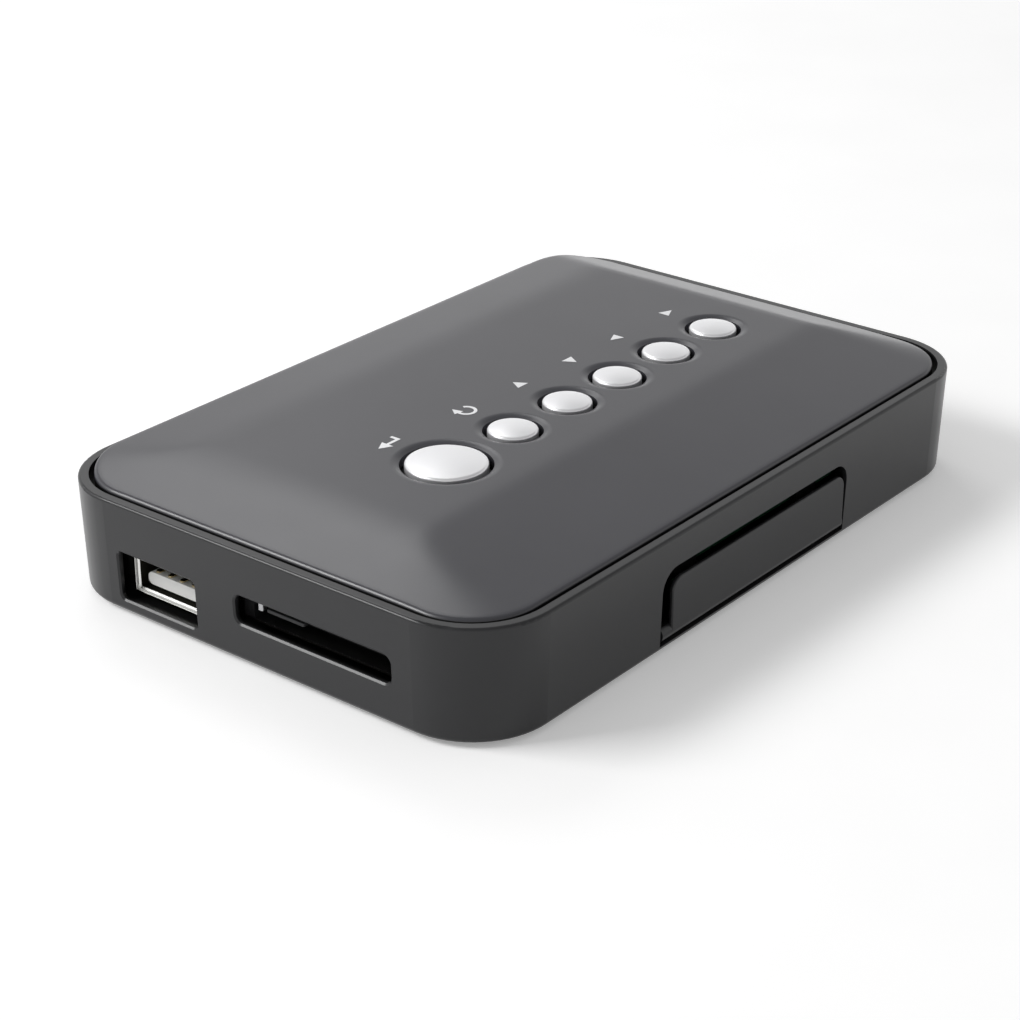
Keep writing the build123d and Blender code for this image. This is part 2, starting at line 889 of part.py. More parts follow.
# Drive socket
def drive_slots():
    """The two slots of the drive socket: low and high ends along X."""
    first = -drive_slots_width / 2
    second = first + drive_slot_widths[0] + drive_key_width
    return [(first, first + drive_slot_widths[0]), (second, second + drive_slot_widths[1])]


def drive_slot_low():
    """Underside of the drive socket's slots."""
    return board_bottom - drive_height / 2 - drive_slot_height / 2


def drive_socket():
    """Moulded housing with two slots facing the door."""
    half = drive_slots_width / 2 + drive_end_wall
    body = block(
        -half, half, drive_face_y, drive_face_y + drive_body_depth,
        board_bottom - drive_height, board_bottom,
    )
    low = drive_slot_low()
    for x_low, x_high in drive_slots():
        body -= block(
            x_low, x_high, drive_face_y, drive_face_y + drive_slot_depth, low, low + drive_slot_height
        )
    return body


def drive_contacts():
    """Contact strips on the floors of the two slots."""
    low = drive_slot_low()
    y_high = drive_face_y + drive_slot_depth
    strips = []
    for (x_low, x_high), count in zip(drive_slots(), drive_contact_counts):
        for place in row(count, drive_contact_pitch):
            x = (x_low + x_high) / 2 + place
            strips.append(
                block(
                    x - drive_contact_width / 2, x + drive_contact_width / 2,
                    y_high - drive_contact_length, y_high, low, low + contact_thickness,
                )
            )
    return strips


# Chips and small parts
def chip(shares, length, width, height):
    """Flat package on the board."""
    x, y = on_board(shares)
    return block(x - length / 2, x + length / 2, y - width / 2, y + width / 2, board_top, board_top + height)


def heat_sink():
    """Finned plate on the processor."""
    x, y = on_board(processor_place_shares)
    half = sink_side / 2
    low = board_top + processor_height
    body = block(x - half, x + half, y - half, y + half, low, low + sink_base)
    pitch = (sink_side - sink_fin_thickness) / (sink_fin_count - 1)
    for place in row(sink_fin_count, pitch):
        x_low = x + place - sink_fin_thickness / 2
        body += block(x_low, x_low + sink_fin_thickness, y - half, y + half, low, low + sink_height)
    return body


def crystal():
    """Metal can with round ends."""
    x, y = on_board(crystal_place_shares)
    can = extrude(SlotOverall(crystal_length, crystal_width), crystal_height)
    return Pos(x, y, board_top) * can


def inductor(shares):
    """Square choke with rounded upright edges."""
    body = chip(shares, inductor_side, inductor_side, inductor_height)
    return fillet(body.edges().filter_by(Axis.Z), inductor_edge_radius)


def capacitor(shares):
    """Round can on a square base."""
    x, y = on_board(shares)
    base = chip(shares, capacitor_base_side, capacitor_base_side, capacitor_base_height)
    return base + upright(x, y, board_top, board_top + capacitor_height, capacitor_radius)


def nodes():
    """Every piece of the player by name."""
    corner_places = corners(screw_inset_x, screw_inset_y)
    places = [on_board(shares) for shares in board_screw_place_shares]
    pieces = {
        "lower_case": lower_case(),
        "top_cover": top_cover(),
        "main_board": main_board(),
        "switch_bodies": [switch_body(x) for name, x, radius in button_places()],
        "case_screws": [screw(x, y, screw_seat_z, case_screw_length, -1) for x, y in corner_places],
        "board_screws": [screw(x, y, board_top, board_screw_length, 1) for x, y in places],
        "usb_shell": usb_shell(),
        "usb_tongue": usb_tongue(),
        "usb_contacts": usb_contacts(),
        "sd_frame": sd_frame(),
        "sd_plate": sd_plate_cover(),
        "sd_contacts": sd_contacts(),
        "hdmi_shell": hdmi_shell(),
        "hdmi_tongue": hdmi_tongue(),
        "av_jack_body": av_jack_body(),
        "av_jack_collar": av_jack_collar(),
        "dc_jack_body": dc_jack_body(),
        "dc_jack_pin": dc_jack_pin(),
        "ir_lens": ir_lens(),
        "ir_receiver": ir_receiver(),
        "port_door": port_door(),
        "door_pin": door_pin(),
        "drive_socket": drive_socket(),
        "drive_contacts": drive_contacts(),
        "processor": chip(processor_place_shares, processor_side, processor_side, processor_height),
        "heat_sink": heat_sink(),
        "memory_chips": [chip(s, memory_length, memory_width, chip_height) for s in memory_place_shares],
        "flash_chip": chip(flash_place_shares, flash_length, flash_width, chip_height),
        "crystal": crystal(),
        "inductors": [inductor(shares) for shares in inductor_place_shares],
        "capacitors": [capacitor(shares) for shares in capacitor_place_shares],
    }
    for name, x, radius in button_places():
        pieces[name + "_button"] = button(x, radius)
        pieces[name + "_plunger"] = plunger(x)
    foot_names = ("front_left_foot", "front_right_foot", "rear_left_foot", "rear_right_foot")
    for name, (x, y) in zip(foot_names, corners(foot_inset_x, foot_inset_y)):
        pieces[name] = foot(x, y)
    return pieces


os.makedirs("parts", exist_ok=True)
for name, piece in nodes().items():
    if isinstance(piece, list):
        piece = Compound([solid for member in piece for solid in member.solids()])
    export_step(piece, f"parts/{name}.step")
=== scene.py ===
import json
import math

import bmesh
import bpy
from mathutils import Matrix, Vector
from mathutils.geometry import delaunay_2d_cdt


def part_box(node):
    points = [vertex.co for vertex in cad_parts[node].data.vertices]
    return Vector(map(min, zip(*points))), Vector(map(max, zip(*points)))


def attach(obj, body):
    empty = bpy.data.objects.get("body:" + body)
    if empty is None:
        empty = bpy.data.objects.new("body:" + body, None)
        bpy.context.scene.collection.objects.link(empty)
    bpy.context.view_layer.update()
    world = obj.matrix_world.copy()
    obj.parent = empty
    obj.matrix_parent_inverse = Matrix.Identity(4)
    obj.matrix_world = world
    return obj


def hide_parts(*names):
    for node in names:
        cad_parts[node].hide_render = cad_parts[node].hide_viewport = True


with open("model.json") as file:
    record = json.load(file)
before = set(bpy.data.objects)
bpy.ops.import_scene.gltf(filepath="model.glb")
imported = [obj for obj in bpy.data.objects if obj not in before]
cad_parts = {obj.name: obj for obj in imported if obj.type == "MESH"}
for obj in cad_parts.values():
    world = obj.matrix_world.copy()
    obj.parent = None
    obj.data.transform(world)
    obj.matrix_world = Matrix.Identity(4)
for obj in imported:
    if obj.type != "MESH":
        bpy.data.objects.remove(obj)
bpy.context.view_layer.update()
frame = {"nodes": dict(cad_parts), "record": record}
nodes = frame["nodes"]
mm = 0.001

# Camera: the photograph's viewing angle, with the point that the middle of the picture meets
view_azimuth = -51.31
view_elevation = 25.78
view_distance = 345.5 * mm
view_aim = Vector((-16.36, -8.55, 10.0)) * mm
lens_mm = 86.33
sensor_mm = 36.0
clip_near = 0.01
clip_far = 20.0

# Floor: pale paper just below the feet, lifted to white far from the object
floor_half = 3.0
floor_drop = 0.05 * mm
floor_tone = 0.94
floor_lift = 0.26
far_lift = 0.68
far_start = 0.3
far_end = 1.2
paper_scale = 40.0
paper_change = 0.01
paper_roughness = 0.9
paper_level = 0.1

# Surround: tones that reflections show, and the heights on a unit dome between which they change
horizon_tone = 0.84
horizon_top = 0.30
backdrop_low = 0.42
backdrop_tone = 1.0
backdrop_top = 0.42
ceiling_low = 0.56
ceiling_tone = 0.40
sky_fill = 0.38

# Lamps, all turned towards the origin
lamps = {
    "key_light": {"at": (-0.55, 0.56, 0.64), "size": (0.45, 0.35), "power": 6.3},
    "slope_light": {"at": (0.40, 0.62, 0.70), "size": (0.35, 0.35), "power": 1.1},
    "back_panel": {"at": (0.95, 0.65, 0.06), "size": (0.6, 0.12), "power": 0.29},
}

# Finishes: noise scales are per metre, and tone_edge is where a noise turns from dark to light
white = (1.0, 1.0, 1.0, 1.0)
noise_roughness = 0.55
fine_detail = 2.0
rich_detail = 3.0
tone_edge = (0.3, 0.7)
cloud_scale = 60.0
sheen_scale = 140.0
plastic_bump = 0.6
gloss_grain_depth = 0.001 * mm
rubber_grain_depth = 0.02 * mm
line_scale = 900.0
line_stretch = (1.0, 30.0, 1.0)
line_bump = 0.25
line_depth = 0.004 * mm

# Board: solder mask over tracks
board_roughness = 0.35
track_scale = 320.0
mask_colour = (0.008, 0.045, 0.02)
track_colour = (0.014, 0.075, 0.033)
track_edge = (0.45, 0.5)
track_bump = 0.3
track_depth = 0.02 * mm

# Painted shade: black inside the case and in the groove, black on the caps below the cover, darker deeper
# inside the USB shell
painted_shade_colour = (0.006, 0.006, 0.006)
painted_shade_depth = 0.9 * mm
skirt_shade_depth = 1.0 * mm
rim_shade_drop = 0.25 * mm
cap_unshaded_reach = 1.65 * mm
usb_shade_colour = (0.035, 0.034, 0.026)
usb_shade_start = 0.1 * mm
usb_shade_full = 0.5 * mm

# Crown of the cover: the solid's own slopes, with the hips between them made soft
crown_inset = 2.25 * mm
crown_radius = 10.25 * mm
crown_edge_radius = 0.6 * mm
crown_blend = 3.0
crown_wall = 1.8 * mm
crown_skirt = 2.0 * mm
crown_grid = 1.25 * mm
crown_sides = {
    "front": {"axis": 1, "way": -1, "width": 21.9 * mm, "drop": 2.25 * mm, "soft": 1.4 * mm},
    "rear": {"axis": 1, "way": 1, "width": 12.0 * mm, "drop": 1.1 * mm, "soft": 2.7 * mm},
    "port": {"axis": 0, "way": -1, "width": 12.5 * mm, "drop": 2.25 * mm, "soft": 5.4 * mm},
    "far": {"axis": 0, "way": 1, "width": 7.45 * mm, "drop": 2.0 * mm, "soft": 0.7 * mm},
}
edge_ring_shares = (0.0, 0.1, 0.25, 0.45, 0.7, 1.0, 2.0, 3.2)
corner_steps = 24
side_step = 1.5 * mm

# Button wells in the cover: rings from the hole's lower edge out to the flat
button_names = ("enter", "return", "up", "down", "left", "right")
well_gap = 0.72 * mm
well_width = 0.85 * mm
well_depth = 0.35 * mm
well_ring_shares = (0.0, 0.0, 0.5, 1.0, 1.6)
well_drop_shares = (4.0, 1.0, 0.5, 0.0, 0.0)
well_steps = 72

# Printed marks behind the buttons: thin plates of white ink on the cover's flat
ink_thickness = 0.03 * mm
mark_offset = 9.2 * mm
enter_mark_offset = 10.2 * mm
enter_mark_shift = -0.7 * mm
return_mark_shift = 0.75 * mm
arrow_marks = {
    "up": {"turn": 90, "base": 2.35 * mm, "height": 1.95 * mm, "shift": 0.4 * mm},
    "down": {"turn": -90, "base": 2.35 * mm, "height": 1.95 * mm, "shift": 0.35 * mm},
    "left": {"turn": 180, "base": 1.95 * mm, "height": 2.2 * mm, "shift": -0.4 * mm},
    "right": {"turn": 0, "base": 1.95 * mm, "height": 2.2 * mm, "shift": 0.4 * mm},
}
enter_head = (1.95 * mm, 2.1 * mm)
enter_tail = 2.0 * mm
enter_hook = 1.35 * mm
stroke = 0.5 * mm
loop_radius = 1.35 * mm
loop_start = 58.0
loop_sweep = 250.0
loop_steps = 30
loop_head_half = 0.8 * mm
loop_head_length = 1.6 * mm

# Card socket: the dark lip and the metal hook that show in its window
lip_reach = 0.9 * mm
lip_round = lip_reach / 4
lip_low = 8.75 * mm
lip_high = 9.2 * mm
lip_ends = (-7.95 * mm, -1.3 * mm)
hook_ends = (-0.55 * mm, 0.35 * mm)
hook_low = 8.6 * mm
hook_high = 9.75 * mm

# USB socket: the flared mouth of its shell and the tips of its contacts
flare_width = 0.62 * mm
flare_depth = 0.38 * mm
flare_proud = 0.03 * mm
tip_count = 4
tip_setback = 0.35 * mm
tip_length = 1.4 * mm
tip_width = 0.8 * mm
tip_round = tip_width / 3
tip_pitch = 2.3 * mm
tip_height = 0.2 * mm

# Mesh making: angle in radians from which an edge is sharp, and tolerances
sharp_angle = 0.6
bar_corner_steps = 6
weld = 0.0001 * mm
inset_tolerance = 1e-6 * mm
plan_tolerance_mm = 1e-6

# Places read from the frame or worked out from it
case_low, case_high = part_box("lower_case")
case_radius = crown_radius + crown_inset
crown_half = (case_high.x - crown_inset, case_high.y - crown_inset)
ledge_z = case_high.z - crown_skirt
cover_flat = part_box("top_cover")[1].z
cap_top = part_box("enter_button")[1].z


# Node helpers
def new_material(name):
    """New material, with its node tree and its shader."""
    material = bpy.data.materials.new(name)
    material.use_nodes = True
    tree = material.node_tree
    shader = tree.nodes["Principled BSDF"]
    return material, tree, shader


def add(tree, kind, **inputs):
    """New node with these input values, where an underscore stands for a space in a name."""
    node = tree.nodes.new(kind)
    for key, value in inputs.items():
        node.inputs[key.replace("_", " ")].default_value = value
    return node


def maths(tree, operation, *values):
    """Math node whose inputs are sockets or plain numbers."""
    node = tree.nodes.new("ShaderNodeMath")
    node.operation = operation
    for socket, value in zip(node.inputs, values):
        if isinstance(value, (int, float)):
            socket.default_value = value
        else:
            tree.links.new(value, socket)
    return node.outputs[0]


def place(tree):
    """The three object coordinates, which are the frame's own, in metres."""
    coords = tree.nodes.new("ShaderNodeTexCoord")
    split = tree.nodes.new("ShaderNodeSeparateXYZ")
    tree.links.new(coords.outputs["Object"], split.inputs["Vector"])
    return split.outputs


def noise(tree, scale, detail, stretch=None):
    """Noise in the frame's own coordinates, finer along an axis where the stretch is over 1."""
    coords = tree.nodes.new("ShaderNodeTexCoord")
    out = coords.outputs["Object"]
    if stretch:
        mapping = tree.nodes.new("ShaderNodeMapping")
        mapping.inputs["Scale"].default_value = stretch
        tree.links.new(out, mapping.inputs["Vector"])
        out = mapping.outputs["Vector"]
    texture = add(tree, "ShaderNodeTexNoise", Scale=scale, Detail=detail, Roughness=noise_roughness)
    tree.links.new(out, texture.inputs["Vector"])
    return texture.outputs["Fac"]


def ramp(tree, source, low, high, edge=tone_edge):
    """Colour that goes from low to high as the source passes between the edge's two values."""
    node = tree.nodes.new("ShaderNodeValToRGB")
    node.color_ramp.elements[0].position = edge[0]
    node.color_ramp.elements[1].position = edge[1]
    node.color_ramp.elements[0].color = (*low, 1.0)
    node.color_ramp.elements[1].color = (*high, 1.0)
    tree.links.new(source, node.inputs["Fac"])
    return node.outputs["Color"]


def spread(tree, source, low, high, source_low=0.0, source_high=1.0):
    """Number that goes from low to high as the source passes between two values."""
    node = add(
        tree, "ShaderNodeMapRange", From_Min=source_low, From_Max=source_high, To_Min=low, To_Max=high,
    )
    tree.links.new(source, node.inputs["Value"])
    return node.outputs["Result"]


def bump(tree, shader, source, strength, depth):
    """Fine relief on the shader's surface, with the source as its height."""
    node = add(tree, "ShaderNodeBump", Strength=strength, Distance=depth)
    tree.links.new(source, node.inputs["Height"])
    tree.links.new(node.outputs["Normal"], shader.inputs["Normal"])


def tones(colour, change):
    """The colour a share darker, and the same share lighter."""
    low = tuple(c * (1 - change) for c in colour)
    high = tuple(c * (1 + change) for c in colour)
    return low, high


def recoloured(material, factor, colour):
    """The material, with another colour where the factor is 1."""
    tree = material.node_tree
    base = tree.nodes["Principled BSDF"].inputs["Base Color"]
    node = tree.nodes.new("ShaderNodeMix")
    node.data_type = "RGBA"
    tree.links.new(factor, node.inputs["Factor"])
    tree.links.new(base.links[0].from_socket, node.inputs["A"])
    node.inputs["B"].default_value = (*colour, 1.0)
    tree.links.new(node.outputs["Result"], base)
    return material


# Materials
def moulded(
    name, colour, roughness, level, grain=0.3 * mm, depth=0.003 * mm, change=0.05, uneven=0.015, metallic=0.0,
):
    """Moulded plastic: a fine spark grain, slow clouds in the colour and a slightly uneven sheen."""
    material, tree, shader = new_material(name)
    shader.inputs["Specular IOR Level"].default_value = level
    shader.inputs["Metallic"].default_value = metallic
    clouds = noise(tree, cloud_scale, rich_detail)
    tree.links.new(ramp(tree, clouds, *tones(colour, change)), shader.inputs["Base Color"])
    sheen = noise(tree, sheen_scale, fine_detail)
    tree.links.new(spread(tree, sheen, roughness - uneven, roughness + uneven), shader.inputs["Roughness"])
    bump(tree, shader, noise(tree, 1.0 / grain, fine_detail), plastic_bump, depth)
    return material


def metal(name, colour, roughness, change=0.08, uneven=0.04, metallic=1.0):
    """Plated or plain sheet: fine drawn lines along one way, and a slightly uneven sheen."""
    material, tree, shader = new_material(name)
    shader.inputs["Metallic"].default_value = metallic
    lines = noise(tree, line_scale, rich_detail, line_stretch)
    tree.links.new(ramp(tree, lines, *tones(colour, change)), shader.inputs["Base Color"])
    tree.links.new(spread(tree, lines, roughness - uneven, roughness + uneven), shader.inputs["Roughness"])
    bump(tree, shader, lines, line_bump, line_depth)
    return material


def board_laminate():
    """Green solder mask over a faint net of tracks."""
    material, tree, shader = new_material("board_laminate")
    shader.inputs["Roughness"].default_value = board_roughness
    coords = tree.nodes.new("ShaderNodeTexCoord")
    cells = add(tree, "ShaderNodeTexVoronoi", Scale=track_scale)
    cells.distance = "MANHATTAN"
    cells.feature = "F1"
    tree.links.new(coords.outputs["Object"], cells.inputs["Vector"])
    mask = ramp(tree, cells.outputs["Distance"], mask_colour, track_colour, track_edge)
    tree.links.new(mask, shader.inputs["Base Color"])
    bump(tree, shader, cells.outputs["Distance"], track_bump, track_depth)
    return material


def painted_shade_inside(material, depth):
    """Painted shade: faces deeper than this inside the case's outline, and below its rim, are painted black.
    """
    tree = material.node_tree
    at = place(tree)
    past_x = maths(tree, "SUBTRACT", maths(tree, "ABSOLUTE", at["X"]), case_high.x - case_radius)
    past_y = maths(tree, "SUBTRACT", maths(tree, "ABSOLUTE", at["Y"]), case_high.y - case_radius)
    corner_x = maths(tree, "POWER", maths(tree, "MAXIMUM", past_x, 0.0), 2.0)
    corner_y = maths(tree, "POWER", maths(tree, "MAXIMUM", past_y, 0.0), 2.0)
    out = maths(tree, "SQRT", maths(tree, "ADD", corner_x, corner_y))
    out = maths(tree, "ADD", out, maths(tree, "MINIMUM", maths(tree, "MAXIMUM", past_x, past_y), 0.0))
    inside = maths(tree, "LESS_THAN", out, case_radius - depth)
    above_floor = maths(tree, "GREATER_THAN", at["Z"], case_low.z + depth)
    below_rim = maths(tree, "LESS_THAN", at["Z"], case_high.z - rim_shade_drop)
    inside = maths(tree, "MULTIPLY", maths(tree, "MULTIPLY", inside, above_floor), below_rim)
    return recoloured(material, inside, painted_shade_colour)


def painted_shade_below(material, height):
    """Painted shade: black below this height, where the caps sit down under the cover."""
    tree = material.node_tree
    return recoloured(material, maths(tree, "LESS_THAN", place(tree)["Z"], height), painted_shade_colour)


def painted_shade_behind(material, mouth):
    """Painted shade: the plating keeps its colour at the mouth of a socket at the port end and is painted
    darker further in.
    """
    tree = material.node_tree
    depth = spread(tree, place(tree)["X"], 0.0, 1.0, mouth + usb_shade_start, mouth + usb_shade_full)
    return recoloured(material, depth, usb_shade_colour)


materials = {
    # Painted shade: the case and the cover are painted black inside the case and in the groove below the rim
    "case_plastic": painted_shade_inside(
        moulded("case_plastic", (0.023, 0.0232, 0.0248), roughness=0.30, level=0.37), painted_shade_depth,
    ),
    "cover_plastic": painted_shade_inside(
        moulded("cover_plastic", (0.050, 0.050, 0.058), roughness=0.30, level=0.53), skirt_shade_depth,
    ),
    # Painted shade: the caps are painted black below the cover
    "key_plastic": painted_shade_below(
        moulded(
            "key_plastic", (0.90, 0.90, 0.915), roughness=0.3, level=0.5,
            depth=gloss_grain_depth, change=0.01, metallic=0.6,
        ),
        cap_top - cap_unshaded_reach,
    ),
    "switch_plastic": moulded("switch_plastic", (0.012, 0.012, 0.013), roughness=0.6, level=0.15),
    "tongue_plastic": moulded("tongue_plastic", (0.82, 0.82, 0.80), roughness=0.45, level=0.5, change=0.03),
    "bright_steel": metal("bright_steel", (0.72, 0.72, 0.70), roughness=0.22),
    "pin_steel": metal("pin_steel", (0.45, 0.45, 0.46), roughness=0.35),
    "contact_gold": metal("contact_gold", (0.80, 0.66, 0.38), roughness=0.22),
    "board_laminate": board_laminate(),
    "chip_plastic": moulded("chip_plastic", (0.030, 0.030, 0.032), roughness=0.6, level=0.4),
    "can_aluminium": metal("can_aluminium", (0.70, 0.71, 0.73), roughness=0.34),
    "lens_plastic": moulded(
        "lens_plastic", (0.030, 0.010, 0.012), roughness=0.08, level=0.5, depth=gloss_grain_depth,
    ),
    "foot_rubber": moulded(
        "foot_rubber", (0.025, 0.025, 0.025), roughness=0.75, level=0.3, depth=rubber_grain_depth,
    ),
}
for part in frame["record"]["subparts"]:
    mesh = nodes[part["node"]].data
    mesh.materials.clear()
    mesh.materials.append(materials[part["material_slot"]])
shell_steel = metal("usb_shell_steel", (0.86, 0.86, 0.83), roughness=0.32, metallic=0.4)
# Painted shade inside the USB shell, darker further in from its mouth
nodes["usb_shell"].data.materials[0] = painted_shade_behind(shell_steel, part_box("usb_shell")[0].x)


# Piece helpers
def finished(name, data, body, slot):
    """Object from a mesh: smooth but for its sharp edges, riding on a body, with its slot's material."""
    form = bmesh.new()
    form.from_mesh(data)
    bmesh.ops.remove_doubles(form, verts=form.verts, dist=weld)
    bmesh.ops.recalc_face_normals(form, faces=form.faces)
    for face in form.faces:
        face.smooth = True
    for edge in form.edges:
        edge.smooth = len(edge.link_faces) == 2 and edge.calc_face_angle() < sharp_angle
    form.to_mesh(data)
    form.free()
    piece = bpy.data.objects.new(name, data)
    bpy.context.scene.collection.objects.link(piece)
    data.materials.append(materials[slot])
    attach(piece, body)
    return piece


def between(name, upper, lower, faces):
    """Closed mesh of an upper skin and a lower one with the same faces, walled along their open edges."""
    count = len(upper)
    walls = []
    edges = {(face[i - 1], face[i]) for face in faces for i in range(len(face))}
    for a, b in sorted(edges):
        if (b, a) not in edges:
            walls.append((a, a + count, b + count, b))
    under = [tuple(i + count for i in reversed(face)) for face in faces]
    data = bpy.data.meshes.new(name)
    data.from_pydata(upper + lower, [], faces + under + walls)
    return data


def plate(name, outline, low, high, body, slot):
    """Closed plate with this outline, plan points in order, between two heights."""
    upper = [(x, y, high) for x, y in outline]
    lower = [(x, y, low) for x, y in outline]
    return finished(name, between(name, upper, lower, [tuple(range(len(outline)))]), body, slot)


def cap_centre(name):
    """Middle of a button's box."""
    low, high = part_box(name + "_button")
    return (low + high) / 2


def cap_radius(name):
    """Half of a button's width."""
    low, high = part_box(name + "_button")
    return (high.x - low.x) / 2


def circle(centre, radius, steps):
    """Plan points of a circle, anticlockwise."""
    turns = [2 * math.pi * step / steps for step in range(steps)]
    return [(centre[0] + radius * math.cos(a), centre[1] + radius * math.sin(a)) for a in turns]


def ring_faces(first, second, count):
    """Faces between two closed rings of points, the first one outside."""
    faces = []
    for i in range(count):
        j = (i + 1) % count
        faces.append((first + i, first + j, second + j, second + i))
    return faces


# Cover: its heights
def side_drop(side, point):
    """How far one slope lies below the flat at a plan point, with a soft crease."""
    inward = crown_half[side["axis"]] - side["way"] * point[side["axis"]]
    past = side["width"] - inward
    slope = side["drop"] / side["width"]
    if past <= -side["soft"]:
        return 0.0
    if past < side["soft"]:
        return slope * (past + side["soft"]) ** 2 / (4 * side["soft"])
    return slope * past


def inset_of(point):
    """Distance of a plan point inside the crown's outline."""
    x = abs(point[0]) - crown_half[0] + crown_radius
    y = abs(point[1]) - crown_half[1] + crown_radius
    return crown_radius - math.hypot(max(x, 0.0), max(y, 0.0)) - min(max(x, y), 0.0)


def crown_height(point):
    """Height of the crown, without the round of its outer edge."""
    drops = [side_drop(side, point) for side in crown_sides.values()]
    return cover_flat - sum(d ** crown_blend for d in drops) ** (1 / crown_blend)


def edge_round(inset):
    """How far the round of the outer edge falls below the crown at a distance inside the outline."""
    if inset >= crown_edge_radius:
        return 0.0
    across = crown_edge_radius - inset
    return crown_edge_radius - math.sqrt(max(crown_edge_radius ** 2 - across ** 2, 0.0))


def under_height(point, skirt_inset):
    """Height of the shell's underside: the ledge below the edge rings, elsewhere a wall below the crown."""
    if inset_of(point) <= skirt_inset + inset_tolerance:
        return ledge_z
    return crown_height(point) - crown_wall


# Cover: its mesh
def crown_outline(inset):
    """Points of the crown's outline, drawn in by an inset, anticlockwise."""
    radius = crown_radius - inset
    points = []
    for quarter, (sx, sy) in enumerate(((1, 1), (-1, 1), (-1, -1), (1, -1))):
        centre = (sx * (crown_half[0] - crown_radius), sy * (crown_half[1] - crown_radius))
        for step in range(corner_steps + 1):
            angle = math.radians(90 * quarter + 90 * step / corner_steps)
            points.append((centre[0] + radius * math.cos(angle), centre[1] + radius * math.sin(angle)))
        length = 2 * (crown_half[quarter % 2] - crown_radius)
        steps = int(length / side_step)
        way = math.radians(90 * quarter + 180)
        last = points[-1]
        for step in range(1, steps):
            along = length * step / steps
            points.append((last[0] + along * math.cos(way), last[1] + along * math.sin(way)))
    return points


def edge_rings(insets):
    """Rings of the cover's outer edge, from the outline inwards, each with its heights."""
    rings = []
    for inset in insets:
        points = crown_outline(inset)
        rings.append((points, [crown_height(point) - edge_round(inset) for point in points]))
    return rings


def well_rings(name):
    """Rings of one button's well, from its hole outwards, each with its heights."""
    hole = cap_radius(name) + well_gap
    rings = []
    for out, down in zip(well_ring_shares, well_drop_shares):
        points = circle(cap_centre(name), hole + out * well_width, well_steps)
        rings.append((points, [cover_flat - down * well_depth] * well_steps))
    return rings


def stack_rings(plan, upper, rings, inward):
    """Adds rings to the points, and gives the faces between them and the last ring's start and count."""
    faces = []
    count = len(rings[0][0])
    for index, (points, heights) in enumerate(rings):
        first = len(plan)
        if index and inward:
            faces += ring_faces(first - count, first, count)
        elif index:
            faces += ring_faces(first, first - count, count)
        plan += points
        upper += heights
    return faces, (len(plan) - count, count)


def field_faces(plan, upper, loops, inset):
    """Triangles of the open field between the edge rings and the wells; adds its grid to the points."""
    flat_start = well_gap + well_ring_shares[-1] * well_width
    wells = [(cap_centre(name), cap_radius(name) + flat_start) for name in button_names]

    def clear(point, room):
        if inset_of(point) < inset + room:
            return False
        return all(math.hypot(point[0] - c[0], point[1] - c[1]) > r + room for c, r in wells)

    grid_start = len(plan)
    counts = [int(half / crown_grid) for half in crown_half]
    for i in range(-counts[0], counts[0] + 1):
        for j in range(-counts[1], counts[1] + 1):
            point = (i * crown_grid, j * crown_grid)
            if clear(point, crown_grid / 2):
                plan.append(point)
                upper.append(crown_height(point))
    used = [i for first, count in loops for i in range(first, first + count)]
    used += range(grid_start, len(plan))
    number = {index: i for i, index in enumerate(used)}
    edges = []
    for first, count in loops:
        edges += [(number[first + i], number[first + (i + 1) % count]) for i in range(count)]
    flat_mm = [Vector((plan[i][0] / mm, plan[i][1] / mm)) for i in used]
    found = delaunay_2d_cdt(flat_mm, edges, [], 0, plan_tolerance_mm)
    source = [used[origin[0]] for origin in found[3]]
    faces = []
    for corners in found[2]:
        face = tuple(source[i] for i in corners)
        middle = [sum(plan[i][axis] for i in face) / len(face) for axis in (0, 1)]
        if clear(middle, 0.0):
            faces.append(face)
    return faces


def soft_cover():
    """The crowned cover as one smooth shell, with a round outer edge and a well round each button."""
    plan = []
    upper = []
    insets = [share * crown_edge_radius for share in edge_ring_shares]
    faces, loop = stack_rings(plan, upper, edge_rings(insets), inward=True)
    loops = [loop]
    for name in button_names:
        well_faces, loop = stack_rings(plan, upper, well_rings(name), inward=False)
        faces += well_faces
        loops.append(loop)
    faces += field_faces(plan, upper, loops, insets[-1])
    lower = [under_height(point, insets[-1]) for point in plan]
    top = [(x, y, z) for (x, y), z in zip(plan, upper)]
    bottom = [(x, y, z) for (x, y), z in zip(plan, lower)]
    shell = between("crowned_cover", top, bottom, faces)
    piece = finished("crowned_cover", shell, "case", "cover_plastic")
    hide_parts("top_cover")


soft_cover()


# Printed marks
def turned(points, centre, angle=0):
    """Plan points turned about zero by an angle in degrees, and moved to a centre."""
    c = math.cos(math.radians(angle))
    s = math.sin(math.radians(angle))
    return [(centre[0] + x * c - y * s, centre[1] + x * s + y * c) for x, y in points]


def mark_centre(name, offset, shift):
    """Plan point behind a button's cap."""
    centre = cap_centre(name)
    return (centre.x + shift, centre.y + offset)


def ink(name, outline):
    """Printed mark with this outline on the cover's flat."""
    plate(name, outline, cover_flat, cover_flat + ink_thickness, "case", "key_plastic")


def arrow_mark(name, form):
    """Small triangle about its middle, which points along +X before it is turned."""
    half = form["base"] / 2
    back = -form["height"] / 3
    corners = [(back, -half), (back + form["height"], 0), (back, half)]
    ink(name + "_mark", turned(corners, mark_centre(name, mark_offset, form["shift"]), form["turn"]))


def enter_mark():
    """Arrow to the left with a hook up at its right end."""
    head, base = enter_head
    half = stroke / 2
    end = enter_tail + stroke
    outline = [
        (-head, 0), (0, -base / 2), (0, -half), (end, -half), (end, enter_hook),
        (enter_tail, enter_hook), (enter_tail, half), (0, half), (0, base / 2),
    ]
    ink("enter_mark", turned(outline, mark_centre("enter", enter_mark_offset, enter_mark_shift)))


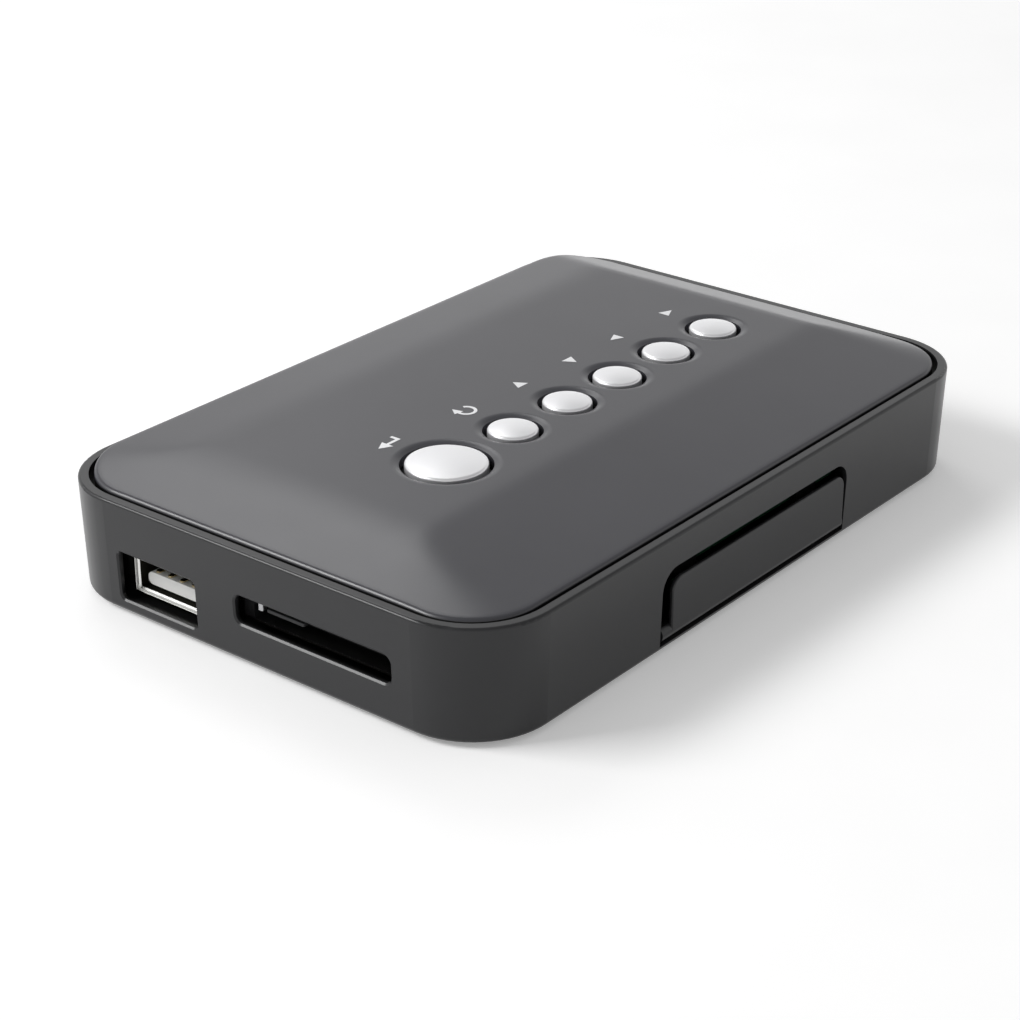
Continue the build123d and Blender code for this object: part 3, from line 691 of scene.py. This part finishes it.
def return_mark():
    """Open ring, run clockwise, that ends in an arrow head."""
    outer = []
    inner = []
    for step in range(loop_steps + 1):
        angle = math.radians(loop_start - loop_sweep * step / loop_steps)
        way = (math.cos(angle), math.sin(angle))
        outer.append(tuple((loop_radius + stroke / 2) * w for w in way))
        inner.append(tuple((loop_radius - stroke / 2) * w for w in way))
    end = math.radians(loop_start - loop_sweep)
    out = (math.cos(end), math.sin(end))
    ahead = (math.sin(end), -math.cos(end))
    head = [
        tuple((loop_radius + loop_head_half) * w for w in out),
        tuple(loop_radius * w + loop_head_length * a for w, a in zip(out, ahead)),
        tuple((loop_radius - loop_head_half) * w for w in out),
    ]
    outline = outer + head + inner[::-1]
    ink("return_mark", turned(outline[::-1], mark_centre("return", mark_offset, return_mark_shift)))


enter_mark()
return_mark()
for key, form in arrow_marks.items():
    arrow_mark(key, form)


# Details in the sockets
def rounded_bar(x_low, x_high, y_low, y_high, radius):
    """Plan outline of a bar with round corners."""
    points = []
    corners = ((x_high, y_high, 0), (x_low, y_high, 90), (x_low, y_low, 180), (x_high, y_low, 270))
    for x, y, start in corners:
        centre_x = x - radius if x == x_high else x + radius
        centre_y = y - radius if y == y_high else y + radius
        for step in range(bar_corner_steps + 1):
            angle = math.radians(start + 90 * step / bar_corner_steps)
            points.append((centre_x + radius * math.cos(angle), centre_y + radius * math.sin(angle)))
    return points


def card_lip():
    """Lip on the card socket's face, with the metal hook beside it, seen through the window."""
    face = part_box("sd_frame")[0].x
    lip = rounded_bar(face - lip_reach, face, *lip_ends, lip_round)
    plate("card_lip", lip, lip_low, lip_high, "case", "chip_plastic")
    hook = rounded_bar(face - lip_reach, face, *hook_ends, lip_round)
    plate("card_hook", hook, hook_low, hook_high, "case", "pin_steel")


def usb_flare():
    """Flared mouth of the USB shell: a ring whose face slopes from the shell's rim in to its throat."""
    low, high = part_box("usb_shell")
    front = low.x - flare_proud
    back = low.x + flare_depth
    rings = []
    for x, inset in ((front, flare_proud), (back, flare_width), (back, flare_proud)):
        y_low, y_high = low.y + inset, high.y - inset
        z_low, z_high = low.z + inset, high.z - inset
        rings.append([(x, y_low, z_low), (x, y_high, z_low), (x, y_high, z_high), (x, y_low, z_high)])
    count = len(rings[0])
    faces = []
    for ring in range(len(rings)):
        after = (ring + 1) % len(rings)
        faces += ring_faces(ring * count, after * count, count)
    data = bpy.data.meshes.new("usb_flare")
    data.from_pydata([point for ring in rings for point in ring], [], faces)
    finished("usb_flare", data, "case", "bright_steel")


def usb_tips():
    """Contact tips on top of the tongue, near its front."""
    low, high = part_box("usb_tongue")
    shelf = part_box("usb_contacts")[0].z
    middle = (low.y + high.y) / 2
    x = low.x + tip_setback
    for index in range(tip_count):
        y = middle + (index - (tip_count - 1) / 2) * tip_pitch
        outline = rounded_bar(x, x + tip_length, y - tip_width / 2, y + tip_width / 2, tip_round)
        plate(f"usb_tip_{index + 1}", outline, shelf, shelf + tip_height, "case", "contact_gold")


card_lip()
usb_flare()
usb_tips()


# Stage: a pale floor, a white backdrop under a darker ceiling, and three soft lamps
def floor():
    """Sheet of pale paper, with a glow of its own that only the camera and reflections see."""
    mesh = bpy.data.meshes.new("floor")
    signs = ((-1, -1), (1, -1), (1, 1), (-1, 1))
    corners = [(sx * floor_half, sy * floor_half, -floor_drop) for sx, sy in signs]
    mesh.from_pydata(corners, [], [(0, 1, 2, 3)])
    plane = bpy.data.objects.new("floor", mesh)
    bpy.context.scene.collection.objects.link(plane)
    material, tree, shader = new_material("floor_paper")
    shader.inputs["Roughness"].default_value = paper_roughness
    shader.inputs["Specular IOR Level"].default_value = paper_level
    paper = ramp(tree, noise(tree, paper_scale, fine_detail), *tones((floor_tone,) * 3, paper_change))
    tree.links.new(paper, shader.inputs["Base Color"])
    path = tree.nodes.new("ShaderNodeLightPath")
    seen = maths(tree, "MAXIMUM", path.outputs["Is Camera Ray"], path.outputs["Is Glossy Ray"])
    seen = maths(tree, "MAXIMUM", seen, path.outputs["Is Transmission Ray"])
    at = place(tree)
    square_x = maths(tree, "MULTIPLY", at["X"], at["X"])
    square_y = maths(tree, "MULTIPLY", at["Y"], at["Y"])
    reach = maths(tree, "SQRT", maths(tree, "ADD", square_x, square_y))
    lift = spread(tree, reach, floor_lift, far_lift, far_start, far_end)
    shader.inputs["Emission Color"].default_value = white
    tree.links.new(maths(tree, "MULTIPLY", seen, lift), shader.inputs["Emission Strength"])
    mesh.materials.append(material)


def surround():
    """White backdrop, with a darker ceiling that only reflections show, and an even fill."""
    world = bpy.data.worlds.new("surround")
    bpy.context.scene.world = world
    world.use_nodes = True
    tree = world.node_tree
    tree.nodes.clear()
    path = tree.nodes.new("ShaderNodeLightPath")
    coords = tree.nodes.new("ShaderNodeTexCoord")
    split = tree.nodes.new("ShaderNodeSeparateXYZ")
    tree.links.new(coords.outputs["Generated"], split.inputs["Vector"])
    rise = split.outputs["Z"]
    lower = spread(tree, rise, horizon_tone, backdrop_tone, horizon_top, backdrop_low)
    upper = spread(tree, rise, backdrop_tone, ceiling_tone, backdrop_top, ceiling_low)
    dome = maths(tree, "MINIMUM", lower, upper)
    glossy = maths(tree, "MAXIMUM", path.outputs["Is Glossy Ray"], path.outputs["Is Transmission Ray"])
    camera_ray = path.outputs["Is Camera Ray"]
    hidden = maths(tree, "SUBTRACT", 1.0, maths(tree, "MAXIMUM", glossy, camera_ray))
    strength = maths(tree, "ADD", maths(tree, "MULTIPLY", glossy, dome), camera_ray)
    strength = maths(tree, "ADD", strength, maths(tree, "MULTIPLY", hidden, sky_fill))
    sky = add(tree, "ShaderNodeBackground", Color=white)
    tree.links.new(strength, sky.inputs["Strength"])
    out = tree.nodes.new("ShaderNodeOutputWorld")
    tree.links.new(sky.outputs["Background"], out.inputs["Surface"])


def softbox(name, at, size, power):
    """Rectangular lamp at a place, turned towards the origin."""
    lamp = bpy.data.lights.new(name, "AREA")
    lamp.shape = "RECTANGLE"
    lamp.size = size[0]
    lamp.size_y = size[1]
    lamp.energy = power
    holder = bpy.data.objects.new(name, lamp)
    holder.location = at
    holder.rotation_euler = (-Vector(at)).to_track_quat("-Z", "Y").to_euler()
    bpy.context.scene.collection.objects.link(holder)


floor()
surround()
for name, lamp in lamps.items():
    softbox(name, **lamp)


# Camera
def camera():
    """Camera that looks at the aim point from the photograph's angle."""
    data = bpy.data.cameras.new("camera")
    data.lens = lens_mm
    data.sensor_width = sensor_mm
    data.clip_start = clip_near
    data.clip_end = clip_far
    holder = bpy.data.objects.new("camera", data)
    azimuth = math.radians(view_azimuth)
    elevation = math.radians(view_elevation)
    back = Vector((
        math.sin(azimuth) * math.cos(elevation),
        -math.cos(azimuth) * math.cos(elevation),
        math.sin(elevation),
    ))
    holder.location = view_aim + back * view_distance
    holder.rotation_euler = (-back).to_track_quat("-Z", "Y").to_euler()
    bpy.context.scene.collection.objects.link(holder)
    bpy.context.scene.camera = holder


camera()
bpy.context.scene.view_settings.view_transform = "Standard"
